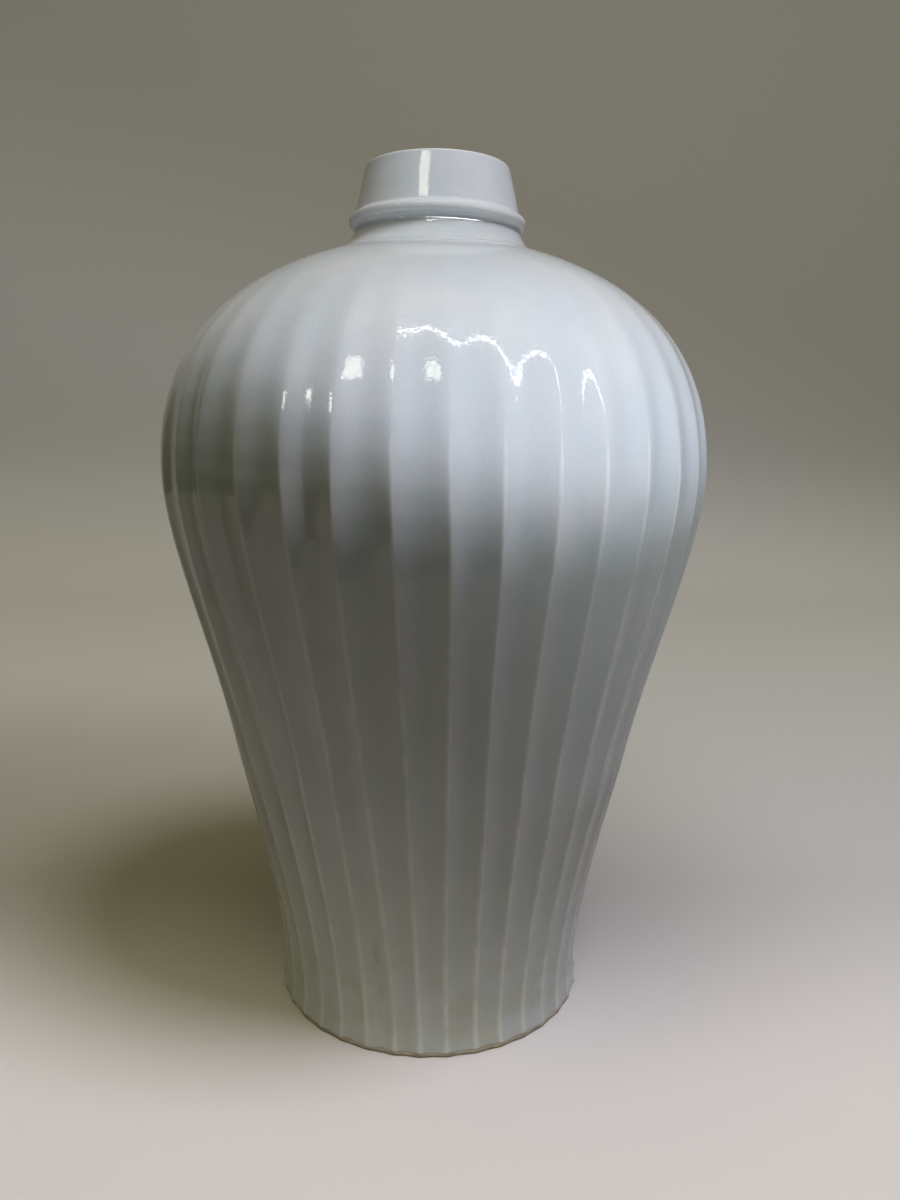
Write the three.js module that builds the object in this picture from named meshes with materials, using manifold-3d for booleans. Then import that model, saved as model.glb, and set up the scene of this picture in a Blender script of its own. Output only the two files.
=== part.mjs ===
// Tall fluted porcelain vase with a narrow mouth. Millimetres, +Z up, foot on Z = 0.
// It turns about the Z axis. Its front is at -Y, and the right hand of a viewer there is +X.
import * as THREE from "three";
import { mergeVertices } from "three/addons/utils/BufferGeometryUtils.js";
import Module from "manifold-3d";

// Driving sizes. Radii of the body are taken over the ridges.
const HEIGHT = 380;
const BELLY_RADIUS = 121.5;
const FOOT_RADIUS = 73.4;
const LIP_RADIUS = 31.9;
const BEAD_RADIUS = 39.1;
const COLLAR_HEIGHT = 25.6;
const NECK_HEIGHT = 11.4;
const FLUTES = 36;

// Walls and the inside
const BORE_RADIUS = 25.6;
const WALL_AT_FOOT = 9;
const WALL_AT_NECK = 6;
const FLOOR_LEVEL = 13;
const MOUTH_ROUND = 1.8;

// Foot ring
const RING_HEIGHT = 4.5;
const RING_WIDTH = 9;
const RING_SLOPE = 1.5;
const FOOT_ROUND = 1.4;
const WAIST_LEVEL = 11.5;
const FOOT_FLARE = 1;

// Body outline: shares of the height to the neck, and how hard each curve holds its end directions
const THIGH_SHARE = 0.3685;
const THIGH_SPREAD = 0.428;
const THIGH_LEAN = 11.4;
const SEAM_SHARE = 0.606;
const BELLY_SHARE = 0.729;
const LOWER_HOLD = [0.292, 0.244];
const MIDDLE_HOLD = [0.369, 0.246];
const SHOULDER_HOLD = [0.632, 0.514];
const SHOULDER_SLOPE = 16.3;

// Flutes: shallow hollows cut side by side, so that a ridge is left between each two
const FLUTE_DEPTH_SHARE = 0.0165;
const FOOT_DEPTH_SHARE = 0.0082;
const FULL_DEPTH_LEVEL_SHARE = 0.42;
const FADE_SHARES = [0.656, 0.977];
const FIRST_RIDGE = 1.6;
const SPACING_SWAY = 1.7;
const LEAN_RATE = 2.75;
const LEAN_BEND = 7.06;
const LEAN_SHARE = 0.65;

// Neck, bead and collar
const NECK_ROOT_FLARE = 8.8;
const BEAD_OVERHANG = 2.3;
const BEAD_LEVEL = 2.6;
const BEAD_HEIGHT = 6.4;
const BEAD_RISE = 3;
const UNDERCUT = 0.5;
const LIP_ROUND = 1.3;

// How finely the round shapes are cut
const STEPS_PER_FLUTE = 4;
const ROUND_STEPS = 60;
const CAVITY_STEPS = 36;

const wasm = await Module();
wasm.setup();

const { degToRad, radToDeg, lerp, mapLinear, smoothstep } = THREE.MathUtils;
const point = (r, z) => new THREE.Vector2(r, z);

const collarSeat = HEIGHT - COLLAR_HEIGHT;
const neckSeat = collarSeat - NECK_HEIGHT;
const bodySeam = SEAM_SHARE * neckSeat;
const waistRadius = FOOT_RADIUS - FOOT_FLARE;
const neckRadius = BEAD_RADIUS - BEAD_OVERHANG;

// A cubic from a to b, leaving along one direction and arriving along the other.
// Directions are degrees above outward, and holds are the handles' lengths.
function sweep(a, leaving, holdA, b, arriving, holdB) {
  const away = point(Math.cos(degToRad(leaving)), Math.sin(degToRad(leaving)));
  const home = point(Math.cos(degToRad(arriving)), Math.sin(degToRad(arriving)));
  return new THREE.CubicBezierCurve(
    a,
    away.multiplyScalar(holdA).add(a),
    home.multiplyScalar(-holdB).add(b),
    b,
  );
}

const waist = point(waistRadius, WAIST_LEVEL);
const thigh = point(lerp(waistRadius, BELLY_RADIUS, THIGH_SPREAD), THIGH_SHARE * neckSeat);
const belly = point(BELLY_RADIUS, BELLY_SHARE * neckSeat);
const neckRoot = point(neckRadius + NECK_ROOT_FLARE, neckSeat);
const thighRise = 90 - THIGH_LEAN;
const rootRise = 180 - SHOULDER_SLOPE;
const lowerSpan = thigh.y - waist.y;
const middleSpan = belly.y - thigh.y;
const shoulderSpan = neckRoot.y - belly.y;
const shoulderRun = belly.x - neckRoot.x;

const footCurve = sweep(point(FOOT_RADIUS, FOOT_ROUND), 90, 3, waist, 90, 4);
const lowerCurve = sweep(
  waist,
  90,
  LOWER_HOLD[0] * lowerSpan,
  thigh,
  thighRise,
  LOWER_HOLD[1] * lowerSpan,
);
const middleCurve = sweep(
  thigh,
  thighRise,
  MIDDLE_HOLD[0] * middleSpan,
  belly,
  90,
  MIDDLE_HOLD[1] * middleSpan,
);
const shoulderCurve = sweep(
  belly,
  90,
  SHOULDER_HOLD[0] * shoulderSpan,
  neckRoot,
  rootRise,
  SHOULDER_HOLD[1] * shoulderRun,
);

// The share of a rising curve at which it reaches the height z.
function shareAt(curve, z) {
  let low = 0;
  let high = 1;
  for (let i = 0; i < 40; i++) {
    const middle = (low + high) / 2;
    if (curve.getPoint(middle).y < z) low = middle;
    else high = middle;
  }
  return high;
}

// Points of a curve from one of its shares to another, without the first.
function stretch(curve, from, to, steps) {
  const points = [];
  for (let i = 1; i <= steps; i++) points.push(curve.getPoint(lerp(from, to, i / steps)));
  return points;
}

// An arc about a centre from one angle to another, both ends included.
function arc(centre, radius, from, to, steps) {
  const points = [];
  for (let i = 0; i <= steps; i++) {
    const angle = degToRad(lerp(from, to, i / steps));
    points.push(point(Math.cos(angle), Math.sin(angle)).multiplyScalar(radius).add(centre));
  }
  return points;
}

// How far the ridges have leaned round the body at height z, in degrees.
function lean(z) {
  const drop = LEAN_SHARE - z / HEIGHT;
  return LEAN_RATE * drop + LEAN_BEND * drop * drop;
}

// Depth of a flute at its middle, on a wall of radius r at height z. It is shallower at the foot, and fades out on the
// shoulder.
function fluteDepth(r, z) {
  const full = smoothstep(z, 0, FULL_DEPTH_LEVEL_SHARE * neckSeat);
  const fade = smoothstep(z, FADE_SHARES[0] * neckSeat, FADE_SHARES[1] * neckSeat);
  const share = FOOT_DEPTH_SHARE + (FLUTE_DEPTH_SHARE - FOOT_DEPTH_SHARE) * full;
  return share * r * (1 - fade);
}

// One level of the fluted wall. Each flute starts with its ridge.
function flutedRing({ x: r, y: z }) {
  const ring = [];
  const count = FLUTES * STEPS_PER_FLUTE;
  for (let i = 0; i < count; i++) {
    const across = (2 * (i % STEPS_PER_FLUTE)) / STEPS_PER_FLUTE - 1;
    const radius = r - fluteDepth(r, z) * (1 - across * across);
    const even = (360 * i) / count + FIRST_RIDGE;
    const turn = even - SPACING_SWAY * Math.sin(degToRad(2 * even)) + lean(z) - 90;
    ring.push([radius * Math.cos(degToRad(turn)), radius * Math.sin(degToRad(turn)), z]);
  }
  return ring;
}

function solid(positions, corners) {
  return new wasm.Manifold(
    new wasm.Mesh({
      numProp: 3,
      vertProperties: new Float32Array(positions),
      triVerts: new Uint32Array(corners),
    }),
  );
}

// A solid lofted through levels with equal numbers of points, closed by a flat face at each end.
function loft(rings) {
  const count = rings[0].length;
  const top = rings.length - 1;
  const bottomCentre = rings.length * count;
  const topCentre = bottomCentre + 1;
  const positions = rings.flat(2);
  positions.push(0, 0, rings[0][0][2], 0, 0, rings[top][0][2]);
  const corners = [];
  for (let i = 0; i < count; i++) {
    const next = (i + 1) % count;
    corners.push(bottomCentre, next, i);
    corners.push(topCentre, top * count + i, top * count + next);
    for (let below = 0; below < top * count; below += count) {
      const above = below + count;
      corners.push(below + i, below + next, above + next);
      corners.push(below + i, above + next, above + i);
    }
  }
  return solid(positions, corners);
}

const flutedWall = (outline) => loft(outline.map(flutedRing));

// A solid turned about Z from a rising profile whose first and last points are on the axis.
function turned(profile, steps) {
  const geometry = new THREE.LatheGeometry(profile, steps).rotateX(Math.PI / 2);
  geometry.deleteAttribute("normal");
  geometry.deleteAttribute("uv");
  const merged = mergeVertices(geometry, 1e-4);
  const all = merged.index.array;
  const corners = [];
  for (let i = 0; i < all.length; i += 3) {
    const [a, b, c] = all.subarray(i, i + 3);
    if (a !== b && b !== c && c !== a) corners.push(a, b, c);
  }
  return solid(merged.attributes.position.array, corners);
}

// A point of the inner wall: the outline's point moved inwards by the wall's thickness.
function insideOf(curve, share) {
  const outside = curve.getPoint(share);
  const along = curve.getTangent(share);
  const wall = mapLinear(outside.y, 0, neckSeat, WALL_AT_FOOT, WALL_AT_NECK);
  return point(outside.x - wall * along.y, outside.y + wall * along.x);
}

// The hollow follows the outline up to the shoulder, then closes into a straight bore.
function cavity() {
  const wall = [];
  for (const curve of [lowerCurve, middleCurve, shoulderCurve])
    for (let i = 0; i < 5; i++) wall.push(insideOf(curve, i / 5));
  const ceiling = insideOf(shoulderCurve, 1);
  const boreStart = point(BORE_RADIUS, collarSeat);
  const rise = boreStart.y - ceiling.y;
  const throat = sweep(ceiling, rootRise, rise / 2, boreStart, 90, 0.7 * rise);
  const mouthRadius = BORE_RADIUS + MOUTH_ROUND;
  return turned(
    [
      point(0, FLOOR_LEVEL / 2),
      point(wall[0].x, FLOOR_LEVEL / 2),
      ...wall,
      ceiling,
      ...stretch(throat, 0, 1, 5),
      ...arc(point(mouthRadius, HEIGHT - MOUTH_ROUND), MOUTH_ROUND, 180, 90, 3),
      point(mouthRadius, HEIGHT + MOUTH_ROUND),
      point(0, HEIGHT + MOUTH_ROUND),
    ],
    CAVITY_STEPS,
  );
}

const hollow = cavity();
const floorShare = shareAt(lowerCurve, FLOOR_LEVEL);
const seamShare = shareAt(middleCurve, bodySeam);
const ringShare = shareAt(footCurve, RING_HEIGHT);

function footRing() {
  const edgeCentre = point(FOOT_RADIUS - FOOT_ROUND, FOOT_ROUND);
  const innerRadius = edgeCentre.x - RING_WIDTH;
  const recess = turned(
    [
      point(0, -RING_HEIGHT),
      point(innerRadius, -RING_HEIGHT),
      point(innerRadius, 0),
      point(innerRadius - RING_SLOPE, RING_HEIGHT),
      point(innerRadius - RING_SLOPE, 2 * RING_HEIGHT),
      point(0, 2 * RING_HEIGHT),
    ],
    ROUND_STEPS,
  );
  const edge = arc(edgeCentre, FOOT_ROUND, -90, 0, 2);
  return flutedWall([...edge, footCurve.getPoint(ringShare)]).subtract(recess);
}

function baseDisc() {
  return flutedWall([
    footCurve.getPoint(ringShare),
    ...stretch(footCurve, ringShare, 1, 2),
    lowerCurve.getPoint(floorShare),
  ]);
}

function lowerBody() {
  return flutedWall([
    lowerCurve.getPoint(floorShare),
    ...stretch(lowerCurve, floorShare, 1, 5),
    ...stretch(middleCurve, 0, seamShare, 3),
  ]).subtract(hollow);
}

function upperBody() {
  return flutedWall([
    middleCurve.getPoint(seamShare),
    ...stretch(middleCurve, seamShare, 1, 2),
    ...stretch(shoulderCurve, 0, 1, 10),
  ]).subtract(hollow);
}

const collarUnderside = point(neckRadius + UNDERCUT, collarSeat);

// The neck rises out of the shoulder in a cove and is narrowest just under the bead.
function neck() {
  const narrowest = point(neckRadius, collarSeat - BEAD_OVERHANG);
  const cove = sweep(neckRoot, rootRise, 5, narrowest, 90, 5);
  const underBead = sweep(narrowest, 90, 1, collarUnderside, 60, 1);
  return turned(
    [
      point(0, neckSeat),
      neckRoot,
      ...stretch(cove, 0, 1, 6),
      ...stretch(underBead, 0, 1, 2),
      point(0, collarSeat),
    ],
    ROUND_STEPS,
  ).subtract(hollow);
}

// The collar has a rolled bead round its foot and tapers to a rounded lip.
function mouthCollar() {
  const beadEdge = point(BEAD_RADIUS, collarSeat + BEAD_LEVEL);
  const collarFoot = point(BEAD_RADIUS - BEAD_RISE, collarSeat + BEAD_HEIGHT);
  const taper = radToDeg(Math.atan2(HEIGHT - collarFoot.y, LIP_RADIUS - collarFoot.x));
  const under = sweep(collarUnderside, 10, BEAD_LEVEL / 2, beadEdge, 90, BEAD_LEVEL / 2);
  const over = sweep(beadEdge, 90, BEAD_LEVEL, collarFoot, taper, BEAD_LEVEL);
  const lipCentre = point(LIP_RADIUS - LIP_ROUND, HEIGHT - LIP_ROUND);
  return turned(
    [
      point(0, collarSeat),
      collarUnderside,
      ...stretch(under, 0, 1, 3),
      ...stretch(over, 0, 1, 5),
      ...arc(lipCentre, LIP_ROUND, taper - 90, 90, 3),
      point(0, HEIGHT),
    ],
    ROUND_STEPS,
  ).subtract(hollow);
}

const GLAZE = { color: 0xc9d2d6, roughness: 0.15, metalness: 0 };
const BARE_CLAY = { color: 0xb7a78f, roughness: 0.9, metalness: 0 };

const vase = new THREE.Group();
vase.name = "fluted_vase";

function add(name, made, look) {
  const { vertProperties, triVerts } = made.getMesh();
  const geometry = new THREE.BufferGeometry()
    .setAttribute("position", new THREE.BufferAttribute(vertProperties, 3))
    .setIndex(new THREE.BufferAttribute(triVerts, 1));
  geometry.computeVertexNormals();
  const mesh = new THREE.Mesh(geometry, new THREE.MeshStandardMaterial(look));
  mesh.name = name;
  vase.add(mesh);
}

add("foot_ring", footRing(), BARE_CLAY);
add("base_disc", baseDisc(), GLAZE);
add("lower_body", lowerBody(), GLAZE);
add("upper_body", upperBody(), GLAZE);
add("neck", neck(), GLAZE);
add("mouth_collar", mouthCollar(), GLAZE);

export default vase;
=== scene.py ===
from math import atan2, cos, degrees, radians, sin

import bpy
import numpy as np
from mathutils import Matrix, Vector


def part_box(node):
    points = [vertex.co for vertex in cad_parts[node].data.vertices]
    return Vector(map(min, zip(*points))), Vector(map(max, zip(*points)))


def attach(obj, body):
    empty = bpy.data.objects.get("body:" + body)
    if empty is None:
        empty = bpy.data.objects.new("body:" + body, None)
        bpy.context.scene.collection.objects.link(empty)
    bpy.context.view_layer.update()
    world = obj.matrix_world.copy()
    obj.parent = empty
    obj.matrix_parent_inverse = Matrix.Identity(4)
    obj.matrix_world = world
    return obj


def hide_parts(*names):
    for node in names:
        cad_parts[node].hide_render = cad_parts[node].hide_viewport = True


MM = 0.001

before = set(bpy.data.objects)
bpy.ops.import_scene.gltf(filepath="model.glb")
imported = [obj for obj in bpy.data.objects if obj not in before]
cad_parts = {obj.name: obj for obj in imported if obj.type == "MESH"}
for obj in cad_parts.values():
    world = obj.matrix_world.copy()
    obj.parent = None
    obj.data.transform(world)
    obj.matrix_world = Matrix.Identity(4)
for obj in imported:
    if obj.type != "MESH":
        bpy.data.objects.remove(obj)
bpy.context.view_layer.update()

# Levels where the pieces meet
RING_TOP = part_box("foot_ring")[1].z
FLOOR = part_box("base_disc")[1].z
BODY_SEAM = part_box("lower_body")[1].z
NECK_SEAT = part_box("upper_body")[1].z
COLLAR_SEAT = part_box("neck")[1].z
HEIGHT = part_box("mouth_collar")[1].z


def reach(node):
    """The greatest distance of a node's points from the axis."""
    return max(v.co.xy.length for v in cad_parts[node].data.vertices)


# Outline of the outside, over the ridges
FOOT_RADIUS = reach("foot_ring")
BELLY_RADIUS = reach("upper_body")
BEAD_RADIUS = reach("mouth_collar")
LIP_RADIUS = 31.9 * MM
FOOT_ROUND = 1.4 * MM
FOOT_FLARE = 1 * MM
WAIST_LEVEL = 11.5 * MM
WAIST_HOLDS = (3 * MM, 4 * MM)
THIGH_SHARE = 0.3685
THIGH_SPREAD = 0.428
THIGH_LEAN = 11.4
BELLY_SHARE = 0.729
LOWER_HOLD = (0.292, 0.244)
MIDDLE_HOLD = (0.369, 0.246)
SHOULDER_HOLD = (0.632, 0.514)
SHOULDER_SLOPE = 16.3

# Neck, bead and collar
NECK_ROOT_FLARE = 8.8 * MM
NECK_LEAN = 25
NECK_HOLDS = (5 * MM, 4 * MM)
POOL_UNDER_BEAD = 2.3 * MM
TUCK_HOLDS = (1.1 * MM, 0.7 * MM)
TUCK_RISE = 50
BEAD_OVERHANG = 2.3 * MM
BEAD_LEVEL = 2.6 * MM
BEAD_HEIGHT = 6.4 * MM
BEAD_RISE = 3 * MM
BEAD_START = 10
UNDERCUT = 0.5 * MM
LIP_ROUND = 1.3 * MM

# The inside and the recess under the foot
BORE_RADIUS = 25.6 * MM
MOUTH_ROUND = 1.8 * MM
WALL_AT_FOOT = 9 * MM
WALL_AT_NECK = 6 * MM
FLOOR_ROUND = 8 * MM
RING_WIDTH = 9 * MM
RING_SLOPE = 1.5 * MM
RECESS_ROUND = 0.6 * MM
RECESS_DOME = 1.2 * MM
DISC_CENTRE = 0.5 * MM
THROAT_HOLDS = (0.5, 0.7)

# Flutes: shallow hollows carved side by side, so that a ridge is left between each two
FLUTES = 36
FLUTE_DEPTH_SHARE = 0.0165
FOOT_DEPTH_SHARE = 0.0082
FULL_DEPTH_SHARE = 0.42
FADE_LEVELS = (232 * MM, 343 * MM)
FIRST_RIDGE = 1.6
SPACING_SWAY = 1.7
LEAN_RATE = 2.75
LEAN_BEND = 7.06
LEAN_SHARE = 0.65
RIDGE_ROUND = 0.08
SOFT_LEVELS = (225 * MM, 285 * MM)
SOFT_SHARE = 0.85
EDGE_FADE = 3 * MM
EDGE_FADE_LEVELS = (250 * MM, 302 * MM)

# What the maker's hand leaves: how far ridges wander, how unlike the flutes are, how uneven the wall is
HAND_SEED = 7967
RIDGE_WANDER = 0.6
WANDER_LENGTH = 400 * MM
DEPTH_CHANCE = 0.14
WALL_CHANCE = 0.12 * MM
WALL_CHANCE_SIZE = 70 * MM
RIPPLE = 0.05 * MM
RIPPLE_SIZE = 26 * MM
THROWING_RING = 0.055 * MM
THROWING_PITCH = 11 * MM
THROWING_WANDER = 2

# Chance waves: how many are added up, what their sum is divided by, and how their paces differ
LINE_WAVES = 4
LINE_WAVES_SUM = 2.5
SPACE_WAVES = 12
SPACE_WAVES_SUM = 5
PACES = (0.5, 1.5)

# How finely the shapes are cut
STEPS_PER_FLUTE = 12
ROUND_STEPS_PER_FLUTE = 4
CROWDING = 1.7
WALL_STEP = 2 * MM
FINE_STEP = 0.35 * MM
DISC_STEP = 6 * MM
MARGIN = 3 * MM
CURVE_STEPS = 200
TINY = 1e-7

# The section, as lines of (radius, height)


def heading(angle):
    return np.array([cos(radians(angle)), sin(radians(angle))])


def sweep(a, leaving, hold_a, b, arriving, hold_b):
    """A cubic from a to b. Directions are degrees above outward, and holds are the handles' lengths."""
    a, b = np.array(a), np.array(b)
    c = a + hold_a * heading(leaving)
    d = b - hold_b * heading(arriving)
    t = np.linspace(0, 1, CURVE_STEPS + 1)[:, None]
    return a * (1 - t) ** 3 + 3 * c * t * (1 - t) ** 2 + 3 * d * t**2 * (1 - t) + b * t**3


def arc(centre, radius, start, end):
    angles = np.radians(np.linspace(start, end, CURVE_STEPS // 4))
    return np.array(centre) + radius * np.stack([np.cos(angles), np.sin(angles)], 1)


def join(*lines):
    """One line from several lines and points, without the points that repeat."""
    line = np.concatenate([np.atleast_2d(part) for part in lines])
    apart = np.linalg.norm(np.diff(line, axis=0), axis=1) > TINY
    return line[np.append(True, apart)]


def spaced(line, step):
    """The same line with points about a step apart."""
    along = np.append(0, np.cumsum(np.linalg.norm(np.diff(line, axis=0), axis=1)))
    places = np.linspace(0, along[-1], max(2, round(along[-1] / step) + 1))
    return np.stack([np.interp(places, along, line[:, i]) for i in (0, 1)], 1)


def stretch(line, start, end, step):
    """The part of a rising or falling line between two levels, with points about a step apart."""
    heights = line[:, 1]
    way = 1 if heights[-1] > heights[0] else -1
    ends = [(np.interp(z, heights[::way], line[::way, 0]), z) for z in (start, end)]
    between = ((heights - start) * way > 0) & ((end - heights) * way > 0)
    return spaced(join(ends[0], line[between], ends[1]), step)


waist = (FOOT_RADIUS - FOOT_FLARE, WAIST_LEVEL)
thigh = (waist[0] + (BELLY_RADIUS - waist[0]) * THIGH_SPREAD, THIGH_SHARE * NECK_SEAT)
belly = (BELLY_RADIUS, BELLY_SHARE * NECK_SEAT)
neck_radius = BEAD_RADIUS - BEAD_OVERHANG
neck_root = (neck_radius + NECK_ROOT_FLARE, NECK_SEAT)
bead_underside = (neck_radius + UNDERCUT, COLLAR_SEAT)
bead_edge = (BEAD_RADIUS, COLLAR_SEAT + BEAD_LEVEL)
lip_top = (LIP_RADIUS - LIP_ROUND, HEIGHT)
foot_corner = (FOOT_RADIUS - FOOT_ROUND, FOOT_ROUND)
root_rise = 180 - SHOULDER_SLOPE


def foot_line():
    """From the face that the vase stands on, round its edge and up to the waist."""
    edge = arc(foot_corner, FOOT_ROUND, -90, 0)
    return join(edge, sweep(edge[-1], 90, WAIST_HOLDS[0], waist, 90, WAIST_HOLDS[1]))


def body_line():
    """The outside from the waist to the root of the neck."""
    thigh_rise = 90 - THIGH_LEAN
    lower = [share * (thigh[1] - waist[1]) for share in LOWER_HOLD]
    middle = [share * (belly[1] - thigh[1]) for share in MIDDLE_HOLD]
    shoulder_hold = SHOULDER_HOLD[0] * (neck_root[1] - belly[1])
    root_hold = SHOULDER_HOLD[1] * (belly[0] - neck_root[0])
    return join(
        sweep(waist, 90, lower[0], thigh, thigh_rise, lower[1]),
        sweep(thigh, thigh_rise, middle[0], belly, 90, middle[1]),
        sweep(belly, 90, shoulder_hold, neck_root, root_rise, root_hold),
    )


def neck_line():
    """The cove that rises out of the shoulder, and the turn under the bead."""
    narrowest = (neck_radius, COLLAR_SEAT - POOL_UNDER_BEAD)
    return join(
        sweep(neck_root, root_rise, NECK_HOLDS[0], narrowest, 90 + NECK_LEAN, NECK_HOLDS[1]),
        sweep(narrowest, 90 + NECK_LEAN, TUCK_HOLDS[0], bead_underside, TUCK_RISE, TUCK_HOLDS[1]),
    )


def collar_line():
    """The rolled bead, the tapering collar and its rounded lip."""
    foot = (BEAD_RADIUS - BEAD_RISE, COLLAR_SEAT + BEAD_HEIGHT)
    taper = degrees(atan2(HEIGHT - foot[1], LIP_RADIUS - foot[0]))
    return join(
        sweep(bead_underside, BEAD_START, BEAD_LEVEL / 2, bead_edge, 90, BEAD_LEVEL / 2),
        sweep(bead_edge, 90, BEAD_LEVEL, foot, taper, BEAD_LEVEL),
        arc((lip_top[0], HEIGHT - LIP_ROUND), LIP_ROUND, taper - 90, 90),
    )


def mouth_line():
    """From the lip over the edge of the mouth into the bore."""
    edge = arc((BORE_RADIUS + MOUTH_ROUND, HEIGHT - MOUTH_ROUND), MOUTH_ROUND, 90, 180)
    return join(lip_top, edge, (BORE_RADIUS, COLLAR_SEAT))


def inside_line(outside):
    """Down the throat and the inner wall, which follows the outside, and round to the floor."""
    along = np.gradient(outside, axis=0)
    along /= np.linalg.norm(along, axis=1)[:, None]
    wall = WALL_AT_FOOT + (WALL_AT_NECK - WALL_AT_FOOT) * outside[:, 1:] / NECK_SEAT
    inner = outside + wall * np.stack([-along[:, 1], along[:, 0]], 1)
    bore_end = (BORE_RADIUS, COLLAR_SEAT)
    rise = bore_end[1] - inner[-1, 1]
    holds = [share * rise for share in THROAT_HOLDS]
    throat = sweep(inner[-1], root_rise, holds[0], bore_end, 90, holds[1])
    turn_top = FLOOR + FLOOR_ROUND
    turn_radius = np.interp(turn_top, inner[:, 1], inner[:, 0]) - FLOOR_ROUND
    return join(
        throat[::-1],
        inner[inner[:, 1] > turn_top][::-1],
        arc((turn_radius, turn_top), FLOOR_ROUND, 0, -90),
    )


def recess_line():
    """From the roof of the recess down its side and round onto the face that the vase stands on."""
    edge = foot_corner[0] - RING_WIDTH
    turn = arc((edge + RECESS_ROUND, RECESS_ROUND), RECESS_ROUND, 180, 270)
    return join((edge - RING_SLOPE, RING_TOP), turn, foot_line()[0])


# Grids of points on the surface


def smoothstep(x, low, high):
    t = np.clip((x - low) / (high - low), 0, 1)
    return t * t * (3 - 2 * t)


def chance(count, places, length, seed):
    """Smooth chance waves along the places, one wave for each of a count, from about -1 to 1."""
    draw = np.random.default_rng(seed)
    total = 0
    for _ in range(LINE_WAVES):
        pace = draw.uniform(*PACES, count) * 2 * np.pi / length
        total = total + np.sin(places * pace + draw.uniform(0, 2 * np.pi, count))
    return total / LINE_WAVES_SUM


def unevenness(points, size, seed):
    """Smooth chance waves through space, from about -1 to 1, each about as long as the size."""
    draw = np.random.default_rng(seed)
    total = 0
    for _ in range(SPACE_WAVES):
        way = draw.normal(size=3)
        way *= draw.uniform(*PACES) * 2 * np.pi / size / np.linalg.norm(way)
        total = total + np.sin(points @ way + draw.uniform(0, 2 * np.pi))
    return total / SPACE_WAVES_SUM


def turn_of(even, z):
    """The angle from the front of a place that would be `even` round if the flutes were alike
    and upright."""
    drop = LEAN_SHARE - z / HEIGHT
    lean = LEAN_RATE * drop + LEAN_BEND * drop**2
    return even - SPACING_SWAY * np.sin(np.radians(2 * even)) + lean


def around(radius, z, turn):
    turn = np.radians(turn)
    return np.stack([radius * np.sin(turn), -radius * np.cos(turn), z + 0 * turn], -1)


def places_round(z, steps, crowding):
    """Even places round the body at each height, closer together at the ridges, which wander a little.
    Also each place's share of the way from its nearest ridge to the middle of its flute."""
    s = np.arange(steps) * 2 / steps - 1
    share = (1 - abs(s)) ** crowding
    across = (1 + np.sign(s) * (1 - share)) / 2
    ridges = FIRST_RIDGE + 360 / FLUTES * np.arange(FLUTES)
    ridges = ridges + RIDGE_WANDER * chance(FLUTES, z, WANDER_LENGTH, HAND_SEED)
    following = np.append(ridges[:, 1:], ridges[:, :1] + 360, 1)
    places = ridges[..., None] + (following - ridges)[..., None] * across
    return places.reshape(len(z), -1), np.tile(share, FLUTES)


def flute_hollow(r, z, share):
    """How deep the flutes are cut. Each is a hollow between two ridges, and fades out on the shoulder."""
    eased = np.sqrt(share**2 + RIDGE_ROUND**2) - RIDGE_ROUND
    eased /= np.sqrt(1 + RIDGE_ROUND**2) - RIDGE_ROUND
    crisp = 1 - (1 - eased) ** 2
    soft = 0.5 - 0.5 * np.cos(np.pi * share)
    softness = SOFT_SHARE * smoothstep(z, *SOFT_LEVELS)
    full = smoothstep(z, 0, FULL_DEPTH_SHARE * NECK_SEAT)
    depth_share = FOOT_DEPTH_SHARE + (FLUTE_DEPTH_SHARE - FOOT_DEPTH_SHARE) * full
    depth = depth_share * r * (1 - smoothstep(z, *FADE_LEVELS))
    unlike = 1 + DEPTH_CHANCE * chance(FLUTES, z, 2 * WANDER_LENGTH, HAND_SEED + 1)
    unlike = np.repeat(unlike, share.size // FLUTES, axis=1)
    return depth * unlike * (crisp * (1 - softness) + soft * softness)


def wall_roughness(points, z):
    """How far the wall lies inside its outline by chance. The face that the vase stands on is flat."""
    swell = WALL_CHANCE * (1 + unevenness(points, WALL_CHANCE_SIZE, HAND_SEED + 2)) / 2
    ripple = RIPPLE * (1 + unevenness(points, RIPPLE_SIZE, HAND_SEED + 3)) / 2
    wander = THROWING_WANDER * unevenness(points, WALL_CHANCE_SIZE, HAND_SEED + 4)
    turns = 2 * np.pi * z / THROWING_PITCH + wander
    rings = THROWING_RING * (1 + np.sin(turns)) / 2
    return (swell + ripple + rings) * smoothstep(z, 0, RING_TOP)


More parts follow.
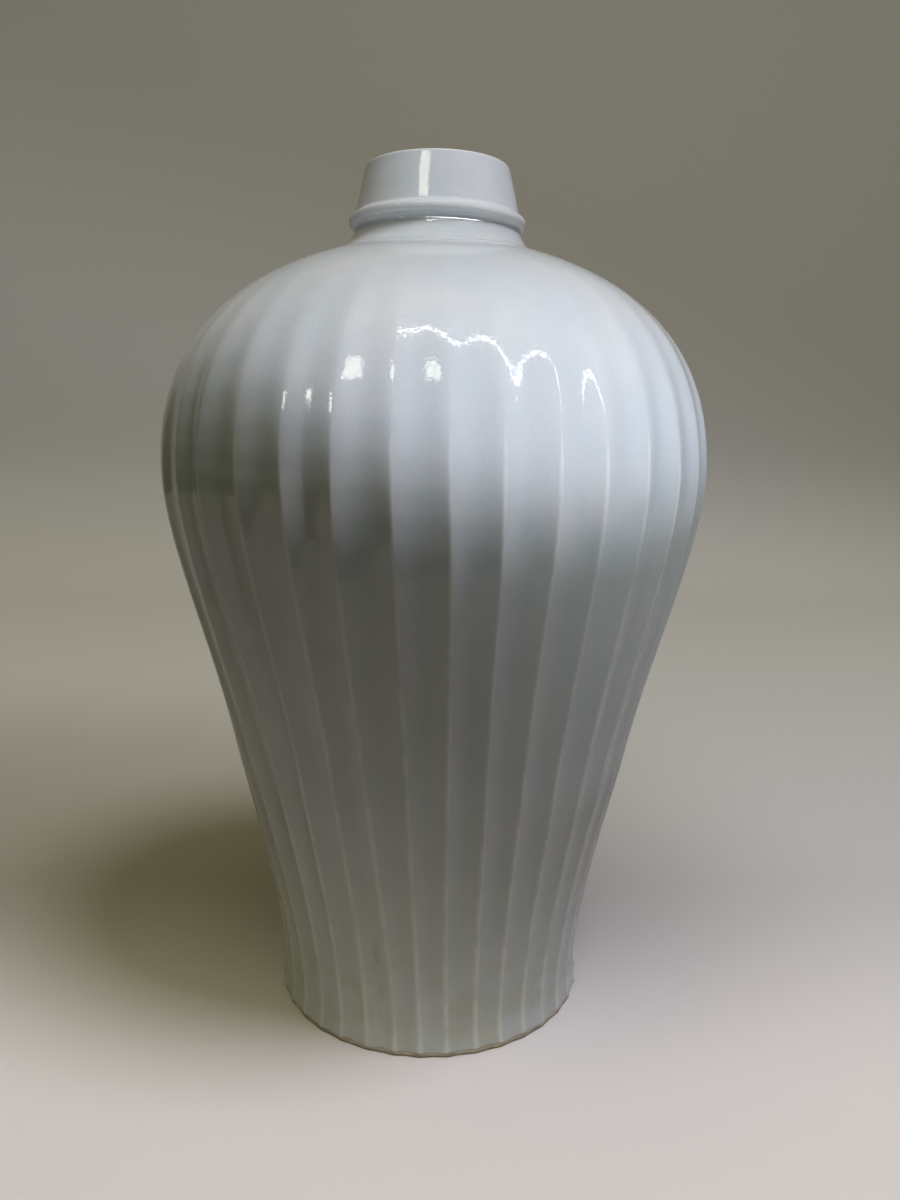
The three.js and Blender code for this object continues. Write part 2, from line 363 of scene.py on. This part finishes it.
class Skin:
    """A grid on the surface: a row for each point of a line, a column for each place round the body.
    Its points have normals, the distance from the nearest sharp edge, and how thick the glaze
    has run."""

    def __init__(self, parts, steps, crowding=1.0, fluted=False):
        self.marks = np.append(0, np.cumsum([len(part) - 1 for part in parts]))
        line = join(*parts)
        r, z = line[:, :1], line[:, 1:]
        even, share = places_round(z, steps, crowding)
        turn = turn_of(even, z)
        smooth = around(r, z, turn)
        cut = wall_roughness(smooth, z)
        if fluted:
            cut = cut + flute_hollow(r, z, share)
            edge = share * r * np.pi / FLUTES + EDGE_FADE * smoothstep(z, *EDGE_FADE_LEVELS)
            pool = share * (1 - smoothstep(z, *FADE_LEVELS))
        else:
            crests = [np.linalg.norm(line - crest, axis=1) for crest in (bead_edge, lip_top)]
            edge = np.min(crests, axis=0)[:, None]
            above_neck = smoothstep(z, COLLAR_SEAT, bead_edge[1])
            pool = smoothstep(z, NECK_SEAT, COLLAR_SEAT) * (1 - above_neck)
        self.points = around(r - cut, z, turn)
        self.edge = edge + 0 * turn
        self.pool = pool + 0 * turn
        round_way = np.roll(self.points, -1, 1) - np.roll(self.points, 1, 1)
        normals = np.cross(round_way, np.gradient(self.points, axis=0))
        self.normals = normals / np.linalg.norm(normals, axis=2)[..., None]

    def band(self, first, last=None):
        """The rows of one part, or of the parts from the first to the last."""
        rows = slice(self.marks[first], self.marks[(first if last is None else last) + 1] + 1)
        band = object.__new__(Skin)
        for name in ("points", "edge", "pool", "normals"):
            setattr(band, name, getattr(self, name)[rows])
        return band


def joining_faces(below, above):
    """Faces between two closed rows of point numbers. One row may have several points for each
    of the other's."""
    count = min(len(below), len(above))
    faces = []
    for i in range(count):
        lower, upper = (
            [row[(i * len(row) // count + j) % len(row)] for j in range(len(row) // count + 1)]
            for row in (below, above)
        )
        faces.append(lower + upper[::-1])
    return faces


def build_piece(node, bands, finish, capped=False):
    """One closed mesh that stands for a node, from bands that follow each other round its section.
    The last row is joined to the first, or each of the two is closed by a cap."""
    faces, flat, start = [], [], 0
    rows = []
    for band in bands:
        count = band.points.shape[1]
        for i in range(len(band.points)):
            rows.append(list(range(start, start + count)))
            start += count
            if len(rows) > 1:
                faces += joining_faces(rows[-2], rows[-1])
                flat += [i == 0] * (len(faces) - len(flat))
    if capped:
        faces += [rows[0][::-1], rows[-1]]
    else:
        faces += joining_faces(rows[-1], rows[0])
    flat += [True] * (len(faces) - len(flat))

    def stacked(name, width):
        return np.concatenate([getattr(band, name).reshape(-1, width) for band in bands])

    mesh = bpy.data.meshes.new(node)
    mesh.from_pydata(stacked("points", 3).tolist(), [], faces)
    for name in ("edge", "pool"):
        layer = mesh.attributes.new(name, "FLOAT", "POINT")
        layer.data.foreach_set("value", stacked(name, 1).ravel().astype(np.float32))
    mesh.shade_smooth()
    corner = np.concatenate(faces)
    sides = [len(face) for face in faces]
    face_normals = np.array([polygon.normal for polygon in mesh.polygons])
    on_flat = np.repeat(flat, sides)[:, None]
    from_faces = np.repeat(face_normals, sides, axis=0)
    normals = np.where(on_flat, from_faces, stacked("normals", 3)[corner])
    mesh.normals_split_custom_set(normals.tolist())
    mesh.materials.append(finish)
    piece = bpy.data.objects.new("finished_" + node, mesh)
    bpy.context.scene.collection.objects.link(piece)
    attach(piece, "root")
    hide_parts(node)
    return piece


# Finishes


class Wire:
    """A socket of a finish under way. A sum written with it adds Math nodes."""

    def __init__(self, finish, socket):
        self.finish = finish
        self.socket = socket

    def math(self, operation, *values):
        inputs = dict(enumerate((self, *values)))
        return self.finish.node("ShaderNodeMath", {"operation": operation}, inputs)

    def __add__(self, other):
        return self.math("ADD", other)

    def __radd__(self, other):
        return self.math("ADD", other)

    def __sub__(self, other):
        return self.math("SUBTRACT", other)

    def __rsub__(self, other):
        return self.math("MULTIPLY_ADD", -1, other)

    def __mul__(self, other):
        return self.math("MULTIPLY", other)


class Nodes:
    """The nodes of a material or a world under way."""

    def __init__(self, owner, place):
        owner.use_nodes = True
        self.owner = owner
        self.tree = owner.node_tree
        self.tree.nodes.clear()
        self.place = self.node("ShaderNodeTexCoord", out=place)

    def node(self, kind, settings=None, values=None, out=0):
        """Adds a node: its settings first, then the values or wires of its sockets."""
        node = self.tree.nodes.new(kind)
        for name, value in (settings or {}).items():
            setattr(node, name, value)
        for name, value in (values or {}).items():
            if isinstance(value, Wire):
                self.tree.links.new(value.socket, node.inputs[name])
            else:
                node.inputs[name].default_value = value
        return Wire(self, node.outputs[out]) if node.outputs else None

    def vector(self, operation, *values, out="Vector"):
        return self.node("ShaderNodeVectorMath", {"operation": operation}, dict(enumerate(values)), out)

    def part(self, axis):
        return self.node("ShaderNodeSeparateXYZ", values={0: self.place}, out=axis)

    def made_at_points(self, name):
        return self.node("ShaderNodeAttribute", {"attribute_name": name}, out="Fac")

    def noise(self, size, detail=2.0, place=None):
        """Cloudy noise about 0.5, whose clouds are about the size given."""
        values = {"Vector": place or self.place, "Scale": 1 / size, "Detail": detail}
        return self.node("ShaderNodeTexNoise", values=values)

    def rise(self, value, low, high):
        """0 below the low value, 1 above the high one, and smooth between."""
        values = {"Value": value, "From Min": low, "From Max": high}
        return self.node("ShaderNodeMapRange", {"interpolation_type": "SMOOTHSTEP"}, values)

    def blend(self, share, a, b):
        """Colour a where the share is 0, and b where it is 1."""
        return self.node("ShaderNodeMix", {"data_type": "RGBA"}, {0: share, 6: a, 7: b}, out=2)

    def distance(self, point):
        return self.vector("DISTANCE", self.place, point, out="Value")


class Finish(Nodes):
    """A material under way."""

    def __init__(self, name):
        super().__init__(bpy.data.materials.new(name), "Object")
        self.height = self.part("Z")

    def surface(self, colour, roughness, relief, **constants):
        """Ends the material with a shader. Relief is a height in metres."""
        normal = self.node("ShaderNodeBump", values={"Height": relief, "Distance": 1.0})
        values = {"Base Color": colour, "Roughness": roughness, "Normal": normal, **constants}
        shader = self.node("ShaderNodeBsdfPrincipled", values=values)
        self.node("ShaderNodeOutputMaterial", values={"Surface": shader})
        return self.owner


# Colours, as linear red, green and blue
GLAZE_PALE = (0.61, 0.615, 0.625, 1)
GLAZE_COOL = (0.555, 0.59, 0.61, 1)
GLAZE_DEEP = (0.45, 0.51, 0.51, 1)
GLAZE_THIN = (0.75, 0.745, 0.73, 1)
GLAZE_OLIVE = (0.47, 0.46, 0.31, 1)
IRON = (0.07, 0.05, 0.03, 1)
RUST = (0.52, 0.38, 0.24, 1)
CLAY = (0.60, 0.54, 0.45, 1)
CLAY_DARK = (0.42, 0.36, 0.28, 1)
CLAY_BURN = (0.17, 0.13, 0.09, 1)

# Glaze
CLOUD_SIZE = 34 * MM
CLOUD_EDGES = (0.3, 0.7)
MOTTLE_SIZE = 0.8 * MM
MOTTLE = 0.13
STREAK_SIZE = 5 * MM
STREAK = 0.06
STREAK_STRETCH = (1, 1, 0.1)
THIN_LINE = (0.3 * MM, 1.9 * MM)
THIN_SHARE = 0.7
THIN_WAVE = 0.8 * MM
THIN_WAVE_SIZE = 6 * MM
THIN_WEAR = 0.6
WEAR_SIZE = 16 * MM
WEAR_EDGES = (0.45, 0.62)
NARROWER = (60 * MM, 200 * MM)
NARROWING = 0.35
POOL_SHARE = 0.3
OLIVE_LEVELS = (12 * MM, 62 * MM)
OLIVE_SIZE = 13 * MM
OLIVE_EDGES = (0.4, 0.7)
OLIVE_SHARE = 0.45
PEEL_SIZE = 1.5 * MM
PEEL_HEIGHT = 0.034 * MM
DIMPLE_SIZE = 7 * MM
DIMPLE_HEIGHT = 0.03 * MM
GLAZE_ROUGHNESS = 0.03
CLOUD_ROUGHNESS = 0.03
PIT_SIZE = 1.2 * MM
PIT_EDGES = (0.5, 0.62)
PIT_ROUGHNESS = 0.15

# Foot: the line where the glaze ends, the burnt rim along it, and the bare clay
GLAZE_LINE = 2.2 * MM
GLAZE_LINE_WAVE = 2.6 * MM
GLAZE_LINE_WAVE_SIZE = 9 * MM
GLAZE_LINE_SOFTNESS = 0.2 * MM
BURN_REACH = 0.45 * MM
BURN_SHARE = 0.5
CLAY_CLOUD_SIZE = 5 * MM
CLAY_CLOUD_EDGES = (0.35, 0.7)
CLAY_ROUGHNESS = 0.85
GRIT_SIZE = 0.6 * MM
GRIT_HEIGHT = 0.12 * MM

# Marks in the glaze: turn from the front, height, half width and half height
IRON_SPOTS = (
    (-22.8, 238.9 * MM, 0.9 * MM, 0.9 * MM),
    (-11.4, 168.9 * MM, 0.6 * MM, 1.3 * MM),
    (-11.6, 165.7 * MM, 0.8 * MM, 1.5 * MM),
    (-8.9, 214.3 * MM, 0.5 * MM, 0.5 * MM),
    (-41.1, 95.2 * MM, 0.8 * MM, 0.8 * MM),
    (-20.2, 137.0 * MM, 0.5 * MM, 0.7 * MM),
    (-20.6, 107.2 * MM, 0.6 * MM, 0.7 * MM),
)
RUST_STAINS = ((-21.4, 231.5 * MM, 4.0 * MM, 7.0 * MM),)
OLIVE_STAINS = ((-18.0, 46.0 * MM, 2.4 * MM, 14.0 * MM), (-17.0, 30.0 * MM, 2.6 * MM, 6.0 * MM))
WHITE_SPOTS = ((-22.9, 42.3 * MM, 0.8 * MM, 0.8 * MM), (25.0, 207.4 * MM, 0.7 * MM, 0.7 * MM))
# How the marks are laid on, one kind over the other: which, their colour, softness and strength
MARKS = (
    (OLIVE_STAINS, GLAZE_OLIVE, 0.9, 0.7),
    (RUST_STAINS, RUST, 0.9, 0.35),
    (IRON_SPOTS, IRON, 0.6, 1),
    (WHITE_SPOTS, GLAZE_THIN, 0.4, 0.8),
)
MARK_WAVE = 1.2
MARK_WAVE_SIZE = 2.5 * MM
OUTSIDE = join(foot_line(), body_line())


def on_wall(turn, z):
    """The point of the outside at that turn and height."""
    radius = np.interp(z, OUTSIDE[:, 1], OUTSIDE[:, 0])
    return tuple(around(radius, z, turn))


def spots(finish, marks, softness):
    """Where any of the marks lies. Their outlines are uneven."""
    wave = (finish.noise(MARK_WAVE_SIZE) - 0.5) * MARK_WAVE
    total = 0.0
    for turn, z, half_width, half_height in marks:
        off = finish.vector("SUBTRACT", finish.place, on_wall(turn, z))
        off = finish.vector("DIVIDE", off, (half_width, half_width, half_height))
        away = finish.vector("LENGTH", off, out="Value") + wave
        total = total + (1 - finish.rise(away, 1 - softness, 1))
    return total


def thin_glaze(finish):
    """Where the glaze has drawn back from a ridge or an edge. The line is wide low on the body,
    narrow at the belly, and worn away here and there."""
    narrowing = 1 + finish.rise(finish.height, *NARROWER) * NARROWING
    wave = (finish.noise(THIN_WAVE_SIZE) - 0.5) * THIN_WAVE
    edge = finish.made_at_points("edge") * narrowing + wave
    kept = 1 - finish.rise(finish.noise(WEAR_SIZE), *WEAR_EDGES) * THIN_WEAR
    return (1 - finish.rise(edge, *THIN_LINE)) * kept


def glaze_colour(finish):
    """Pale and cool clouds, deeper where the glaze has pooled, olive near the foot, thin at the edges
    and marked here and there."""
    clouds = finish.noise(CLOUD_SIZE)
    colour = finish.blend(finish.rise(clouds, *CLOUD_EDGES), GLAZE_PALE, GLAZE_COOL)
    pool = finish.made_at_points("pool")
    colour = finish.blend(pool * POOL_SHARE, colour, GLAZE_DEEP)
    low = 1 - finish.rise(finish.height, *OLIVE_LEVELS)
    olive = low * finish.rise(finish.noise(OLIVE_SIZE), *OLIVE_EDGES) * OLIVE_SHARE
    colour = finish.blend(olive, colour, GLAZE_OLIVE)
    along = finish.vector("MULTIPLY", finish.place, STREAK_STRETCH)
    shade = finish.noise(MOTTLE_SIZE) * MOTTLE + finish.noise(STREAK_SIZE, place=along) * STREAK
    colour = finish.vector("MULTIPLY", colour, shade + (1 - (MOTTLE + STREAK) / 2))
    colour = finish.blend(thin_glaze(finish) * THIN_SHARE, colour, GLAZE_THIN)
    for marks, mark_colour, softness, strength in MARKS:
        colour = finish.blend(spots(finish, marks, softness) * strength, colour, mark_colour)
    return colour


def glaze_relief(finish):
    """Fine orange peel over wide soft dimples."""
    peel = finish.noise(PEEL_SIZE, detail=1) * PEEL_HEIGHT
    return peel + finish.noise(DIMPLE_SIZE, detail=1) * DIMPLE_HEIGHT


def pale_glaze():
    finish = Finish("pale_glaze")
    pits = finish.rise(finish.noise(PIT_SIZE, detail=1), *PIT_EDGES)
    roughness = GLAZE_ROUGHNESS + finish.noise(CLOUD_SIZE) * CLOUD_ROUGHNESS + pits * PIT_ROUGHNESS
    return finish.surface(glaze_colour(finish), roughness, glaze_relief(finish))


def foot_finish():
    """Glaze down to an uneven line just above the edge of the foot, and bare clay below it."""
    finish = Finish("glazed_and_bare_foot")
    level = finish.height + (finish.noise(GLAZE_LINE_WAVE_SIZE, 3) - 0.5) * GLAZE_LINE_WAVE
    glazed = finish.rise(level, GLAZE_LINE - GLAZE_LINE_SOFTNESS, GLAZE_LINE + GLAZE_LINE_SOFTNESS)
    burn = 1 - finish.rise((level - GLAZE_LINE).math("ABSOLUTE"), 0, BURN_REACH)
    clouds = finish.rise(finish.noise(CLAY_CLOUD_SIZE, 4), *CLAY_CLOUD_EDGES)
    clay = finish.blend(clouds, CLAY, CLAY_DARK)
    colour = finish.blend(glazed, clay, glaze_colour(finish))
    colour = finish.blend(burn * BURN_SHARE, colour, CLAY_BURN)
    roughness = CLAY_ROUGHNESS - glazed * (CLAY_ROUGHNESS - GLAZE_ROUGHNESS)
    grit = finish.noise(GRIT_SIZE, 3) * GRIT_HEIGHT * (1 - glazed)
    return finish.surface(colour, roughness, glaze_relief(finish) * glazed + grit)


# The pieces


def disc(start, end):
    """A disc or the cap of one, with points in line with those of the fluted wall round it."""
    return Skin([spaced(join(start, end), DISC_STEP)], STEPS_PER_FLUTE, CROWDING)


foot, body, neck = foot_line(), body_line(), neck_line()
inside = inside_line(body)
fluted = Skin(
    [
        spaced(recess_line(), FINE_STEP),
        stretch(foot, 0, RING_TOP, FINE_STEP),
        join(
            stretch(foot, RING_TOP, WAIST_LEVEL, WALL_STEP),
            stretch(body, WAIST_LEVEL, FLOOR, WALL_STEP),
        ),
        stretch(body, FLOOR, BODY_SEAM, WALL_STEP),
        stretch(body, BODY_SEAM, NECK_SEAT, WALL_STEP),
        stretch(neck, NECK_SEAT, NECK_SEAT + MARGIN, FINE_STEP),
    ],
    STEPS_PER_FLUTE,
    CROWDING,
    fluted=True,
)
plain = Skin(
    [
        stretch(body, NECK_SEAT - MARGIN, NECK_SEAT, WALL_STEP),
        stretch(neck, NECK_SEAT, COLLAR_SEAT, FINE_STEP),
        spaced(collar_line(), FINE_STEP),
        spaced(mouth_line(), FINE_STEP),
        stretch(inside, COLLAR_SEAT, NECK_SEAT, WALL_STEP),
        stretch(inside, NECK_SEAT, BODY_SEAM, WALL_STEP),
        stretch(inside, BODY_SEAM, FLOOR, WALL_STEP),
    ],
    ROUND_STEPS_PER_FLUTE,
)
roof = disc((DISC_CENTRE, RING_TOP + RECESS_DOME), tuple(recess_line()[0]))
floor = disc((inside[-1, 0], FLOOR), (DISC_CENTRE, FLOOR))

glaze = pale_glaze()
build_piece("foot_ring", [fluted.band(0, 1)], foot_finish())
build_piece("base_disc", [roof, fluted.band(2), floor], glaze, capped=True)
lower_body = build_piece("lower_body", [fluted.band(3), plain.band(6)], glaze)
upper_body = build_piece("upper_body", [fluted.band(4), plain.band(5)], glaze)
neck_piece = build_piece("neck", [plain.band(1), plain.band(4)], glaze)
collar = build_piece("mouth_collar", [plain.band(2, 3)], glaze)

# The camera

EYE = (-3.28 * MM, -425.98 * MM, 265.60 * MM)
EYE_TURN = (79.757, -0.746, -1.356)
LENS_MM = 27.318
SENSOR_MM = 36

camera_data = bpy.data.cameras.new("camera")
camera_data.sensor_fit = "VERTICAL"
camera_data.sensor_height = SENSOR_MM
camera_data.lens = LENS_MM
camera_data.clip_start = 0.01
camera = bpy.data.objects.new("camera", camera_data)
camera.location = EYE
camera.rotation_euler = [radians(a) for a in EYE_TURN]
bpy.context.scene.collection.objects.link(camera)
bpy.context.scene.camera = camera

# Lights and stage


def way(turn, rise):
    """The direction that turns that far to the right of the front and rises that far."""
    level = cos(radians(rise))
    return Vector((sin(radians(turn)) * level, -cos(radians(turn)) * level, sin(radians(rise))))


def lamp(name, kind, place, aim, energy, colour, **settings):
    """A lamp that the camera doesn't see."""
    data = bpy.data.lights.new(name, kind)
    data.energy = energy
    data.color = colour
    for setting, value in settings.items():
        setattr(data, setting, value)
    made = bpy.data.objects.new(name, data)
    made.location = place
    made.rotation_euler = aim.to_track_quat("-Z", "Y").to_euler()
    made.visible_camera = False
    bpy.context.scene.collection.objects.link(made)
    return made


def reached_by(lamps, pieces):
    """Lets the lamps light these pieces only."""
    group = bpy.data.collections.new("lit_" + lamps[0].name)
    for piece in pieces:
        group.objects.link(piece)
    for made in lamps:
        made.light_linking.receiver_collection = group


# How far the lamps stand from the belly, half the angle of a spot's cone in degrees, the radius at
# which the cone's edge meets its level, and the size of a spot
BODY_MIDDLE = Vector((0, 0, 300 * MM))
LAMP_REACH = 1.6
PANEL_REACH = 3
CONE = 13
LIT_RADIUS = 0.115
SPOT_SIZE = 0.012

# The tubes run on from each other under the ceiling
CEILING = 2.71
TUBE_ENDS = [(x, y, CEILING) for x, y in ((-0.43, -1.035), (1.1, -1.41), (2.6, -1.88), (5, -3.1))]
COOL_WHITE = (0.95, 0.97, 1)
COLLAR_WHITE = (0.92, 0.95, 1.0)


def screened_lamp(name, turn, rise, level, tilt, softness, light, colour):
    """A spot whose cone ends at a level on the vase, as if a board stood before it, so that it lights
    only what lies above. The edge's tilt is in degrees."""
    place = BODY_MIDDLE + LAMP_REACH * way(turn, rise)
    edge = (way(turn, 0) * LIT_RADIUS + Vector((0, 0, level)) - place).normalized()
    side = edge.cross(Vector((0, 0, 1))).normalized()
    up = side.cross(edge) * cos(radians(tilt)) + side * sin(radians(tilt))
    aim = edge * cos(radians(CONE)) + up * sin(radians(CONE))
    energy = 4 * np.pi * LAMP_REACH**2 * light
    settings = {"spot_size": radians(2 * CONE), "spot_blend": softness, "shadow_soft_size": SPOT_SIZE}
    spot = lamp(name, "SPOT", place, aim, energy, colour, **settings)
    spot.visible_glossy = False
    return spot


def key_lamp(turn, rise, size, light, colour):
    """The soft main lamp, which lights everything."""
    place = BODY_MIDDLE + LAMP_REACH * way(turn, rise)
    energy = np.pi * LAMP_REACH**2 * light
    key = lamp("key", "AREA", place, -way(turn, rise), energy, colour, shape="DISK", size=size)
    key.visible_glossy = False


def tube_lamp(name, start, end, width, brightness, colour):
    """A long thin lamp under the ceiling, seen only as a bright line in the glaze."""
    start, end = Vector(start), Vector(end)
    along, up = (end - start).normalized(), Vector((0, 0, 1))
    length = (end - start).length
    energy = brightness * length * width * np.pi
    settings = {"shape": "RECTANGLE", "size": length, "size_y": width}
    tube = lamp(name, "AREA", (start + end) / 2, -up, energy, colour, **settings)
    tube.rotation_euler = Matrix((along, up.cross(along), up)).transposed().to_euler()
    tube.visible_diffuse = False
    return tube


def panel_lamp(name, turn, rise, width, height, brightness, colour):
    """A panel far off that faces the vase, seen only as a bright patch in the glaze."""
    place = BODY_MIDDLE + PANEL_REACH * way(turn, rise)
    energy = brightness * width * height * np.pi
    settings = {"shape": "RECTANGLE", "size": width, "size_y": height}
    panel = lamp(name, "AREA", place, -way(turn, rise), energy, colour, **settings)
    panel.visible_diffuse = False
    return panel


# The spots and some of the bright lamps reach only the pieces that the lines at the end name, so that
# the light falls on each piece as it does in the photograph.
key_lamp(50, 65, 0.6, 2.6, (0.84, 0.86, 1.0))
front_light = screened_lamp("front_light", 8.4, -18.3, 0.231, 11.4, 0.21, 1.75, (0.84, 0.87, 1.0))
side_light = screened_lamp("side_light", 56.7, -9.5, 0.222, -15.4, 0.14, 0.82, (0.86, 0.90, 1.0))
low_light = screened_lamp("low_light", 6.7, -22, 0.132, 60, 0.88, 0.86, (0.86, 1.0, 1.0))
collar_light = screened_lamp("collar_light", 11, -3, 0.1, 0, 0.3, 1.08, COLLAR_WHITE)
tube_lamp("left_tube", *TUBE_ENDS[:2], 0.035, 50, COOL_WHITE)
middle_tube = tube_lamp("middle_tube", *TUBE_ENDS[1:3], 0.05, 52, COOL_WHITE)
right_tube = tube_lamp("right_tube", *TUBE_ENDS[2:], 0.1, 44, COOL_WHITE)
panel_lamp("near_panel", -22, 42, 0.6, 0.5, 9, (1, 0.97, 0.85))
panel_lamp("far_panel", -54, 24, 0.36, 0.24, 14, (1, 0.98, 0.9))
neck_panel = panel_lamp("neck_panel", 28, 52, 3.4, 0.6, 45, COOL_WHITE)
neck_light = screened_lamp("neck_light", 8, -15, 0.1, 0, 0.3, 0.75, COLLAR_WHITE)
reached_by([front_light, side_light, low_light, right_tube], [lower_body, upper_body])
reached_by([middle_tube], [lower_body, upper_body, neck_piece])
reached_by([collar_light], [collar])
reached_by([neck_light, neck_panel], [neck_piece])

# The paper's colours as seen: pale near the vase, darker just behind it at the left and right, and darker
# again up the wall
FLOOR_COLOUR = (0.80, 0.745, 0.735, 1)
# Painted shadow: the back at the left is darker where the vase's shadow falls
BACK_LEFT_PAINTED_SHADOW = (0.34, 0.31, 0.25, 1)
BACK_RIGHT = (0.57, 0.545, 0.55, 1)
WALL_COLOUR = (0.36, 0.34, 0.30, 1)
WALL_RIGHT = (0.38, 0.365, 0.36, 1)
# Painted shade: the wall darkens towards its top, more so at the right
WALL_TOP_PAINTED_SHADE = (0.187, 0.165, 0.108, 1)
# Painted light: a glow given off by the wall, seen directly and in reflections but lighting nothing
WALL_GLOW = (0.12, 0.115, 0.1)
# Where the colours change over, across, back and up. The top's edge slopes down to the right.
LEFT_TO_RIGHT = (-0.1, 0.3)
FLOOR_TO_BACK = (-0.1, 0.1)
BACK_TO_WALL = (0.12, 0.6)
WALL_TO_TOP = (0.2, 0.75)
TOP_SLOPE = 0.35
# What the paper throws onto the vase, near it and far from it, and less of it from the right
NEAR_BOUNCE = (0.62, 0.57, 0.45, 1)
FAR_BOUNCE = (0.10, 0.09, 0.08, 1)
BOUNCE_REACH = (0.1, 0.3)
RIGHT_REACH = (0.02, 0.1)
RIGHT_SHARE = 0.3
PAPER_ROUGHNESS = 0.8
GRAIN_SIZE = 2 * MM
GRAIN_HEIGHT = 0.02 * MM
SEEN_RAYS = ("Is Camera Ray", "Is Glossy Ray", "Is Transmission Ray")


def paper_finish():
    """Pale near the vase and darker behind it, with painted shadow behind it at the left, painted shade
    towards the top of the wall and a painted glow on the wall. What it throws onto the vase is dimmer
    than what is seen of it, and comes from close by."""
    finish = Finish("paper")
    across, depth = finish.part("X"), finish.part("Y")
    to_right = finish.rise(across, *LEFT_TO_RIGHT)
    # Painted shadow at the left, lighter paper at the right
    back = finish.blend(to_right, BACK_LEFT_PAINTED_SHADOW, BACK_RIGHT)
    wall = finish.blend(to_right, WALL_COLOUR, WALL_RIGHT)
    # Painted shade towards the top of the wall
    wall = finish.blend(finish.rise(finish.height + across * TOP_SLOPE, *WALL_TO_TOP), wall, WALL_TOP_PAINTED_SHADE)
    seen_colour = finish.blend(finish.rise(depth, *FLOOR_TO_BACK), FLOOR_COLOUR, back)
    far = finish.rise(depth, *BACK_TO_WALL)
    seen_colour = finish.blend(far, seen_colour, wall)
    away = finish.rise(finish.distance((0, 0, 0)), *BOUNCE_REACH)
    away = away + finish.rise(across, *RIGHT_REACH) * RIGHT_SHARE
    bounce_colour = finish.blend(away, NEAR_BOUNCE, FAR_BOUNCE)
    rays = [finish.node("ShaderNodeLightPath", out=name) for name in SEEN_RAYS]
    seen = rays[0] + rays[1] + rays[2]
    colour = finish.blend(seen, bounce_colour, seen_colour)
    # The painted glow, on the wall only and only where the paper is seen
    glow = finish.vector("MULTIPLY", WALL_GLOW, far * seen)
    relief = finish.noise(GRAIN_SIZE) * GRAIN_HEIGHT
    emission = {"Emission Color": glow, "Emission Strength": 1}
    return finish.surface(colour, PAPER_ROUGHNESS, relief, **emission)


def sweep_of_paper():
    """A pale floor that runs back and up into a darker wall."""
    half_width, front, back, top, bend, step = 1.6, -0.44, 1.3, 2.0, 0.25, 0.05
    corner = arc((back - bend, bend), bend, -90, 0)
    section = spaced(join((front, 0), corner, (back, top)), step)
    points = [(x, y, z) for y, z in section for x in (-half_width, half_width)]
    faces = [(2 * i, 2 * i + 1, 2 * i + 3, 2 * i + 2) for i in range(len(section) - 1)]
    mesh = bpy.data.meshes.new("paper")
    mesh.from_pydata(points, [], faces)
    mesh.shade_smooth()
    mesh.materials.append(paper_finish())
    paper = bpy.data.objects.new("paper", mesh)
    bpy.context.scene.collection.objects.link(paper)


sweep_of_paper()

ROOM_COLOUR = (0.025, 0.025, 0.018)
DIMMING_IN_GLAZE = 0.75
# Soft glows of the ceiling: turn, rise, reach in degrees and colour
CEILING_GLOWS = ((-60, 75, 35, (1.6, 1.58, 1.0)), (0, 75, 35, (1.1, 1.0, 0.6)))


def room():
    """A dark room with soft glows on its ceiling, which are dimmer in reflections."""
    sky = Nodes(bpy.data.worlds.new("room"), "Generated")
    dimming = 1 - sky.node("ShaderNodeLightPath", out="Is Glossy Ray") * DIMMING_IN_GLAZE
    colour = ROOM_COLOUR
    for turn, rise, reach_of_glow, glow in CEILING_GLOWS:
        angle = sky.vector("DOT_PRODUCT", sky.place, way(turn, rise), out="Value").math("ARCCOSINE")
        share = sky.rise(angle, radians(reach_of_glow), 0) * dimming
        colour = sky.vector("MULTIPLY_ADD", glow, share, colour)
    background = sky.node("ShaderNodeBackground", values={"Color": colour})
    sky.node("ShaderNodeOutputWorld", values={"Surface": background})
    bpy.context.scene.world = sky.owner


room()
bpy.context.scene.view_settings.view_transform = "Standard"
